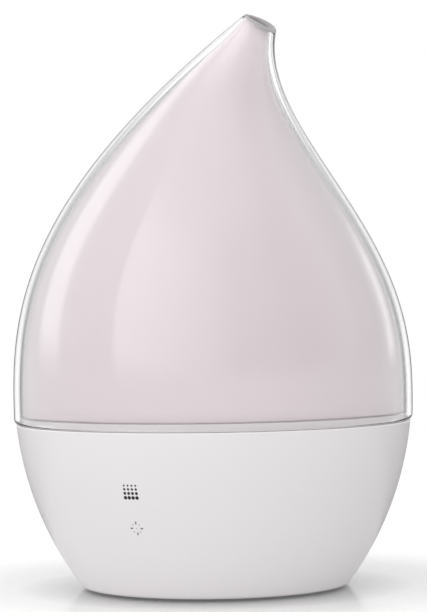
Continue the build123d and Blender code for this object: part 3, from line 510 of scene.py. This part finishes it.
def print_patches(name, patches, material):
    """One flat mesh from patches, each a middle and a ring of corners in x and z."""
    points, faces = [], []
    for middle, ring in patches:
        start = len(points)
        points += [on_bowl(*middle)] + [on_bowl(*corner) for corner in ring]
        count = len(ring)
        faces += [(start, start + 1 + k, start + 1 + (k + 1) % count) for k in range(count)]
    mesh = bpy.data.meshes.new(name)
    mesh.from_pydata(points, [], faces)
    mesh.shade_smooth()
    made = bpy.data.objects.new(name, mesh)
    scene.collection.objects.link(made)
    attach(made, "base")
    wear(made, material)
    return made


def dot(x, z, radius, corners=20):
    turns = [2 * math.pi * k / corners for k in range(corners)]
    return (x, z), [(x + radius * math.cos(t), z + radius * math.sin(t)) for t in turns]


def ray(x, z, angle, start, end, half_width):
    """A bar with rounded ends, pointing away from (x, z)."""
    along = np.array((math.cos(angle), math.sin(angle)))
    across = np.array((-math.sin(angle), math.cos(angle)))
    middle = np.array((x, z)) + along * (start + end) / 2
    straight = (end - start) / 2 - half_width
    ring = []
    for side in (1, -1):
        for turn in np.linspace(-math.pi / 2, math.pi / 2, END_STEPS):
            swing = along * math.cos(turn) * side + across * math.sin(turn) * side
            ring.append(tuple(middle + along * straight * side + swing * half_width))
    return tuple(middle), ring


# %% [markdown]
# The dots sit on a grid of four by four. Their rows move apart a little as the dots grow. The sun has eight rays,
# long and short in turn, round one small dot.

# %% Mist mark and light mark
MIST_MARK, LIGHT_MARK = 62.9 * MM, 42.3 * MM
DOT_PITCH = 2.33 * MM
DOT_ROWS = ((3.3, 0.55), (1.25, 0.68), (-1.0, 0.85), (-3.45, 1.02))
LONG_RAY, SHORT_RAY, RAY_START, SUN_DOT = (3.9, 0.42), (3.2, 0.16), 2.2, 0.25
dots = []
for above, radius in DOT_ROWS:
    for column in (-1.5, -0.5, 0.5, 1.5):
        dots.append(dot(column * DOT_PITCH, MIST_MARK + above * MM, radius * MM))
dark_ink = plastic("dark_ink", (0.008, 0.008, 0.009), 0.35, cloud=0.1)
print_patches("mist_mark", dots, dark_ink)
rays_of_sun = []
for k in range(8):
    reach, half_width = SHORT_RAY if k % 2 else LONG_RAY
    rays_of_sun.append(ray(0.0, LIGHT_MARK, math.pi * k / 4, RAY_START * MM, reach * MM, half_width * MM))
rays_of_sun.append(dot(0.0, LIGHT_MARK, SUN_DOT * MM))
grey_ink = plastic("grey_ink", (0.16, 0.16, 0.165), 0.35, cloud=0.1)
print_patches("light_mark", rays_of_sun, grey_ink)
print("marks at", round(MIST_MARK * 1000, 1), "and", round(LIGHT_MARK * 1000, 1), "mm above the floor")

# %% [markdown]
# ## Light level
# The light is one soft dome, a little brighter towards the front left and towards the horizon than overhead, as
# in a white studio with large softboxes standing round the table. An even dome of 1 would show every colour just
# as it is written. What falls on the open floor follows from the same numbers, and the floor will need it.

# %% Soft dome values
DOME_LEVEL, DOME_SLOPE, KEY_TURN, KEY_DROP = 1.16, 0.53, math.radians(35.0), 0.5
OPEN_FLOOR_LIGHT = DOME_LEVEL - DOME_SLOPE * KEY_DROP * 2 / 3
print("light on the open floor", round(OPEN_FLOOR_LIGHT, 3))

# %% [markdown]
# ## Studio floor
# The picture has a white floor that fades into a white background, with a soft shadow under the base. Painting
# the floor pure white would throw too much light up at the object, so its extra whiteness is a glow that only
# the camera and clear or shiny surfaces see.

# %% Floor
FLOOR_RADIUS = 1.2
corners = [(FLOOR_RADIUS * math.cos(a), FLOOR_RADIUS * math.sin(a), 0) for a in ANGLES]
floor_mesh = bpy.data.meshes.new("floor")
floor_mesh.from_pydata(corners, [], [tuple(range(AROUND))])
floor = bpy.data.objects.new("floor", floor_mesh)
scene.collection.objects.link(floor)
print("floor", 2 * FLOOR_RADIUS, "m across")


def ray_share(tree, links, weights):
    """A sum over kinds of rays: each kind's name with the weight that it gets."""
    rays = tree.new("ShaderNodeLightPath")
    total = None
    for kind, weight in weights:
        part = tree.new("ShaderNodeMath")
        part.operation = "MULTIPLY_ADD"
        part.inputs[1].default_value = weight
        part.inputs[2].default_value = 0.0
        links.new(rays.outputs[kind], part.inputs[0])
        if total:
            links.new(total, part.inputs[2])
        total = part.outputs["Value"]
    return total


# %% [markdown]
# In front of the object the floor is a pale sheet, which throws light up under the bowl. Behind it the floor is
# darker, so that the edges of the bowl mirror something grey and stand out against the white background.

# %% Floor colour
CAMERA_AZIMUTH = 25.2
camera_turn = math.radians(CAMERA_AZIMUTH)
front = (math.sin(camera_turn), -math.cos(camera_turn), 0)
left = (-math.cos(camera_turn), -math.sin(camera_turn), 0)
UNDER_FLOOR, FRONT_FLOOR, BACK_FLOOR = 0.82, 0.66, 0.3
SHEET_EDGE, NEAR_RING = (-0.16, -0.05), (0.13, 0.22)
material, tree, links = new_material("studio_floor")
shader = tree["Principled BSDF"]
shader.inputs["Specular IOR Level"].default_value = 0.0
shader.inputs["Emission Color"].default_value = (1, 1, 1, 1)
nearer = tree.new("ShaderNodeVectorMath")
nearer.operation = "DOT_PRODUCT"
nearer.inputs[1].default_value = front
place = tree.new("ShaderNodeTexCoord")
links.new(place.outputs["Object"], nearer.inputs[0])
sheet = tree.new("ShaderNodeMapRange")
sheet.interpolation_type = "SMOOTHSTEP"
sheet.inputs["From Min"].default_value, sheet.inputs["From Max"].default_value = SHEET_EDGE
sheet.inputs["To Min"].default_value = BACK_FLOOR
sheet.inputs["To Max"].default_value = FRONT_FLOOR
links.new(nearer.outputs["Value"], sheet.inputs["Value"])
away = tree.new("ShaderNodeVectorMath")
away.operation = "LENGTH"
links.new(place.outputs["Object"], away.inputs[0])
middle = tree.new("ShaderNodeMapRange")
middle.interpolation_type = "SMOOTHSTEP"
middle.inputs["From Min"].default_value, middle.inputs["From Max"].default_value = NEAR_RING
middle.inputs["To Min"].default_value = UNDER_FLOOR
links.new(away.outputs["Value"], middle.inputs["Value"])
links.new(sheet.outputs["Result"], middle.inputs["To Max"])
print("floor colour: under the object", UNDER_FLOOR, "in front", FRONT_FLOOR, "behind", BACK_FLOOR)

# %% [markdown]
# The glow makes up for the difference: seen by the camera or through the clear shell, the open floor is the same
# white everywhere, and only what is in shadow falls below it.

# %% Floor glow
FLOOR_WHITE = 1.04
missing = tree.new("ShaderNodeMath")
missing.operation = "MULTIPLY_ADD"
missing.inputs[1].default_value = -OPEN_FLOOR_LIGHT
missing.inputs[2].default_value = FLOOR_WHITE
links.new(middle.outputs["Result"], missing.inputs[0])
glow = tree.new("ShaderNodeMath")
glow.operation = "MULTIPLY"
links.new(missing.outputs["Value"], glow.inputs[0])
seen = (("Is Camera Ray", 1.0), ("Is Transmission Ray", 1.0), ("Is Glossy Ray", 0.1))
links.new(ray_share(tree, links, seen), glow.inputs[1])
links.new(glow.outputs["Value"], shader.inputs["Emission Strength"])
print("floor glow under the object", round(FLOOR_WHITE - UNDER_FLOOR * OPEN_FLOOR_LIGHT, 3))

# %% [markdown]
# Right at the foot the shadow is deeper than soft light alone makes it. An Ambient Occlusion node measures how
# closed in each place on the floor is within a few centimetres, and the sheet gets darker there. Only the camera
# sees that, so the bowl is lit as before.

# %% Contact shade
CONTACT_REACH, CONTACT_SHADE = 0.032, 0.1
contact = tree.new("ShaderNodeAmbientOcclusion")
contact.inputs["Distance"].default_value = CONTACT_REACH
contact.samples = 16
shade = tree.new("ShaderNodeMapRange")
shade.inputs["To Min"].default_value = CONTACT_SHADE
links.new(contact.outputs["AO"], shade.inputs["Value"])
eye = tree.new("ShaderNodeMapRange")
eye.inputs["To Min"].default_value = 1.0
links.new(tree.new("ShaderNodeLightPath").outputs["Is Camera Ray"], eye.inputs["Value"])
links.new(shade.outputs["Result"], eye.inputs["To Max"])
tone = tree.new("ShaderNodeMath")
tone.operation = "MULTIPLY"
links.new(middle.outputs["Result"], tone.inputs[0])
links.new(eye.outputs["Result"], tone.inputs[1])
links.new(tone.outputs["Value"], shader.inputs["Base Color"])
print("contact shade within", round(CONTACT_REACH * 1000), "mm of the foot")

# %% [markdown]
# The sheet is smooth, so at this low angle it also mirrors the foot of the bowl a little. A glossy shader over the
# white one, mixed by Fresnel, does that: more mirror where the view skims the floor, almost none from above. It
# fades out with the distance from the object, where there is nothing to mirror but the white room.

# %% Gloss on the floor
FLOOR_ROUGHNESS, GLOSS_FADE = 0.18, (0.1, 0.2)
gloss = tree.new("ShaderNodeBsdfGlossy")
gloss.inputs["Roughness"].default_value = FLOOR_ROUGHNESS
fresnel = tree.new("ShaderNodeFresnel")
fresnel.inputs["IOR"].default_value = 1.5
polished = tree.new("ShaderNodeMapRange")
polished.interpolation_type = "SMOOTHSTEP"
polished.inputs["From Min"].default_value, polished.inputs["From Max"].default_value = GLOSS_FADE
polished.inputs["To Max"].default_value = 0.0
links.new(away.outputs["Value"], polished.inputs["Value"])
links.new(fresnel.outputs["Fac"], polished.inputs["To Min"])
coat = tree.new("ShaderNodeMixShader")
links.new(polished.outputs["Result"], coat.inputs["Fac"])
links.new(shader.outputs["BSDF"], coat.inputs[1])
links.new(gloss.outputs["BSDF"], coat.inputs[2])
links.new(coat.outputs["Shader"], tree["Material Output"].inputs["Surface"])
floor_mesh.materials.append(material)
print("floor shader", len(tree), "nodes")

# %% [markdown]
# ## The room
# The walls of the tank are glossy, so what they show is the room. Its brightness goes round the object like a
# ring of softboxes: a wide white front with a sharp left edge, and a narrow strip further left. Area lamps would do
# that too, but they would also light the object. A colour ramp over the compass angle makes all of it in one place.
# The softboxes lean over the table, so the angle is scaled down towards the zenith.

# %% Compass angle
BOX_LEAN = 0.2
world = bpy.data.worlds.new("studio")
scene.world = world
world.use_nodes = True
tree, links = world.node_tree.nodes, world.node_tree.links
direction = tree.new("ShaderNodeTexCoord").outputs["Generated"]
compass = tree.new("ShaderNodeMath")
compass.operation = "ARCTAN2"
for socket, axis in ((0, left), (1, front)):
    along = tree.new("ShaderNodeVectorMath")
    along.operation = "DOT_PRODUCT"
    along.inputs[1].default_value = axis
    links.new(direction, along.inputs[0])
    links.new(along.outputs["Value"], compass.inputs[socket])
height = tree.new("ShaderNodeSeparateXYZ")
links.new(direction, height.inputs["Vector"])
upright = tree.new("ShaderNodeMapRange")
upright.inputs["To Min"].default_value = 1.0
upright.inputs["To Max"].default_value = 1.0 - BOX_LEAN
links.new(height.outputs["Z"], upright.inputs["Value"])
bearing = tree.new("ShaderNodeMath")
bearing.operation = "MULTIPLY"
links.new(compass.outputs["Value"], bearing.inputs[0])
links.new(upright.outputs["Result"], bearing.inputs[1])
print("room turned by", CAMERA_AZIMUTH, "degrees")

# %% [markdown]
# Each pair is a compass angle in degrees, with 0 at the camera and the left side positive, and a brightness. A
# ramp holds no colour above 1, so it stores shares of a brightest value.

# %% Softboxes round the object
ROOM = (
    (-180, 1.00), (-135, 1.00), (-118, 0.95), (-97, 0.95), (-85, 1.05), (-55, 0.60),
    (-15, 0.60), (0, 0.95), (30, 1.45), (56.5, 1.75), (58.5, 0.90), (75, 0.95),
    (98, 1.05), (100, 1.85), (118, 1.85), (120, 1.10), (180, 1.00),
)
BRIGHTEST = 5.0
share = tree.new("ShaderNodeMapRange")
share.inputs["From Min"].default_value = -math.pi
share.inputs["From Max"].default_value = math.pi
links.new(bearing.outputs["Value"], share.inputs["Value"])
ramp = tree.new("ShaderNodeValToRGB")
stops = ramp.color_ramp.elements
for degrees, bright in ROOM[1:-1]:
    stops.new((degrees + 180) / 360)
for stop, (degrees, bright) in zip(stops, ROOM):
    stop.color = (*[bright / BRIGHTEST] * 3, 1)
links.new(share.outputs["Result"], ramp.inputs["Fac"])
print("stops round the room", len(stops))

# %% [markdown]
# The strips fade towards the ground and the zenith, where an even ceiling takes over.

# %% Ceiling and strength
HORIZON, CEILING = 1.1, 1.0
WALL_FOOT, WALL_TOP = (-0.02, 0.2), (0.95, 0.75)


def soft_step(socket, off, on):
    """0 where the value is at off, 1 where it is at on, with a smooth step between."""
    fade = tree.new("ShaderNodeMapRange")
    fade.interpolation_type = "SMOOTHSTEP"
    fade.inputs["From Min"].default_value = min(off, on)
    fade.inputs["From Max"].default_value = max(off, on)
    fade.inputs["To Min"].default_value = 0.0 if off < on else 1.0
    fade.inputs["To Max"].default_value = 1.0 if off < on else 0.0
    links.new(socket, fade.inputs["Value"])
    return fade.outputs["Result"]


def product(*sockets):
    total = sockets[0]
    for socket in sockets[1:]:
        times = tree.new("ShaderNodeMath")
        times.operation = "MULTIPLY"
        links.new(total, times.inputs[0])
        links.new(socket, times.inputs[1])
        total = times.outputs["Value"]
    return total


band = product(soft_step(height.outputs["Z"], *WALL_FOOT), soft_step(height.outputs["Z"], *WALL_TOP))
plain = tree.new("ShaderNodeMapRange")
plain.interpolation_type = "SMOOTHSTEP"
plain.inputs["From Min"].default_value, plain.inputs["From Max"].default_value = WALL_FOOT
plain.inputs["To Min"].default_value = HORIZON / BRIGHTEST
plain.inputs["To Max"].default_value = CEILING / BRIGHTEST
links.new(height.outputs["Z"], plain.inputs["Value"])
walls = tree.new("ShaderNodeMix")
links.new(plain.outputs["Result"], walls.inputs["A"])
links.new(band, walls.inputs["Factor"])
links.new(ramp.outputs["Color"], walls.inputs["B"])
scaled = tree.new("ShaderNodeMath")
scaled.operation = "MULTIPLY"
scaled.inputs[1].default_value = BRIGHTEST
links.new(walls.outputs["Result"], scaled.inputs[0])
print("ceiling", CEILING, "horizon", HORIZON)

# %% [markdown]
# One more strip stands low on the right. It shows only on the belly of the tank and fades before its shoulder.

# %% Low strip on the right
LOW_STRIP, STRIP_SIDES = 0.8, ((-122, -124), (-132, -130))
STRIP_FOOT, STRIP_TOP = (0.0, 0.1), (0.42, 0.3)


def turn_step(socket, off, on):
    """A soft step over a compass angle, given in degrees."""
    return soft_step(socket, math.radians(off), math.radians(on))


sides = [turn_step(bearing.outputs["Value"], *side) for side in STRIP_SIDES]
ends = [soft_step(height.outputs["Z"], *end) for end in (STRIP_FOOT, STRIP_TOP)]
strip = product(*sides, *ends)
panels = tree.new("ShaderNodeMath")
panels.operation = "MULTIPLY_ADD"
panels.inputs[1].default_value = LOW_STRIP
links.new(strip, panels.inputs[0])
links.new(scaled.outputs["Value"], panels.inputs[2])
print("low strip adds", LOW_STRIP)

# %% [markdown]
# Right behind the object, low over the table, hangs a dark cloth just out of the picture, and a narrow one on
# either side of it. Only the edges of the tank mirror them: the one behind draws the outermost thin grey line,
# and the ones beside it darken the line where the liner starts, with the white rim of the shell between. The
# clear shell is the one perfectly sharp mirror here, so its rays can be told apart from the blurred ones of the
# floor: for them the cloth reaches higher, and the lines go on up to the tip while the floor stays white.

# %% Dark cloth
CLOTH, SIDE_CLOTH = 0.8, 0.45
CLOTH_EDGE, SIDE_EDGES = (163, 168), ((142, 145), (153, 150))
CLOTH_TOP, SHARP_TOP, SIDE_TOP = (0.065, 0.045), (0.4, 0.3), (0.45, 0.35)
bearing_size = tree.new("ShaderNodeMath")
bearing_size.operation = "ABSOLUTE"
links.new(bearing.outputs["Value"], bearing_size.inputs[0])
behind = turn_step(bearing_size.outputs["Value"], *CLOTH_EDGE)
beside = product(*[turn_step(bearing_size.outputs["Value"], *edge) for edge in SIDE_EDGES])
cloth = tree.new("ShaderNodeMath")
cloth.operation = "MULTIPLY_ADD"
cloth.inputs[1].default_value = -CLOTH
cloth.inputs[2].default_value = 1.0
reach = tree.new("ShaderNodeMath")
reach.operation = "MAXIMUM"
links.new(soft_step(height.outputs["Z"], *CLOTH_TOP), reach.inputs[0])
sharp = tree.new("ShaderNodeLightPath").outputs["Is Singular Ray"]
links.new(product(sharp, soft_step(height.outputs["Z"], *SHARP_TOP)), reach.inputs[1])
hung = tree.new("ShaderNodeMath")
hung.operation = "MULTIPLY_ADD"
hung.inputs[1].default_value = SIDE_CLOTH / CLOTH
links.new(product(beside, soft_step(height.outputs["Z"], *SIDE_TOP)), hung.inputs[0])
links.new(product(behind, reach.outputs["Value"]), hung.inputs[2])
links.new(hung.outputs["Value"], cloth.inputs[0])
room = product(panels.outputs["Value"], cloth.outputs["Value"])
print("room", len(tree), "nodes")

# %% [markdown]
# The reflections come from those panels, but the light itself is a plain soft dome, a little brighter towards
# the front left. Each kind of ray gets its own share: shiny surfaces meet the panels, the camera and the clear
# shell meet full white, and everything else, which is the light that falls on the object, meets the dome.

# %% Soft dome
key = Vector(front) * math.cos(KEY_TURN) + Vector(left) * math.sin(KEY_TURN) - Vector((0, 0, KEY_DROP))
towards = tree.new("ShaderNodeVectorMath")
towards.operation = "DOT_PRODUCT"
towards.inputs[1].default_value = key
links.new(direction, towards.inputs[0])
dome = tree.new("ShaderNodeMath")
dome.operation = "MULTIPLY_ADD"
dome.inputs[1].default_value = DOME_SLOPE
dome.inputs[2].default_value = DOME_LEVEL
links.new(towards.outputs["Value"], dome.inputs[0])
print("dome brightest towards", [round(v, 2) for v in key])

# %% [markdown]
# A reflection on the liner leaves through the clear shell, so its last step is a passage, like a straight look
# through the shell. It is told apart by its counts: it has passed more than two surfaces and was mirrored at least
# once.

# %% Who sees what
PAST_TWO, MIRRORED = (2.4, 2.6), (0.4, 0.6)
depths = tree.new("ShaderNodeLightPath")
mirrored_inside = product(soft_step(depths.outputs["Transmission Depth"], *PAST_TWO),
                          soft_step(depths.outputs["Glossy Depth"], *MIRRORED))
reflected = tree.new("ShaderNodeMath")
reflected.operation = "MAXIMUM"
links.new(depths.outputs["Is Glossy Ray"], reflected.inputs[0])
links.new(mirrored_inside, reflected.inputs[1])
straight = tree.new("ShaderNodeMath")
straight.operation = "SUBTRACT"
links.new(ray_share(tree, links, (("Is Camera Ray", 1.0), ("Is Transmission Ray", 1.0))), straight.inputs[0])
links.new(reflected.outputs["Value"], straight.inputs[1])
shown = tree.new("ShaderNodeMix")
links.new(reflected.outputs["Value"], shown.inputs["Factor"])
links.new(dome.outputs["Value"], shown.inputs["A"])
links.new(room, shown.inputs["B"])
level = tree.new("ShaderNodeMix")
level.inputs["B"].default_value = 1.0
links.new(straight.outputs["Value"], level.inputs["Factor"])
links.new(shown.outputs["Result"], level.inputs["A"])
links.new(level.outputs["Result"], tree["Background"].inputs["Strength"])
tree["Background"].inputs["Color"].default_value = (1, 1, 1, 1)
print("world", len(tree), "nodes")

# %% [markdown]
# ## Camera
# A long lens from across the room, a little above the middle of the object, with the slight roll of the picture.

# %% Camera
CAMERA_DISTANCE, CAMERA_HEIGHT, AIM_HEIGHT = 1.611, 0.187, 0.161
AIM_RIGHT, ROLL, LENS = 1.03 * MM, math.radians(-0.86), 165.0
camera = bpy.data.objects.new("camera", bpy.data.cameras.new("camera"))
scene.collection.objects.link(camera)
scene.camera = camera
ahead, aside = math.cos(camera_turn), math.sin(camera_turn)
camera.location = (CAMERA_DISTANCE * aside, -CAMERA_DISTANCE * ahead, CAMERA_HEIGHT)
target = Vector((AIM_RIGHT * ahead, AIM_RIGHT * aside, AIM_HEIGHT))
aim = (target - camera.location).to_track_quat("-Z", "Y")
camera.rotation_mode = "QUATERNION"
camera.rotation_quaternion = aim @ Quaternion((0, 0, 1), ROLL)
camera.data.lens = LENS
print("camera at", [round(v, 3) for v in camera.location])
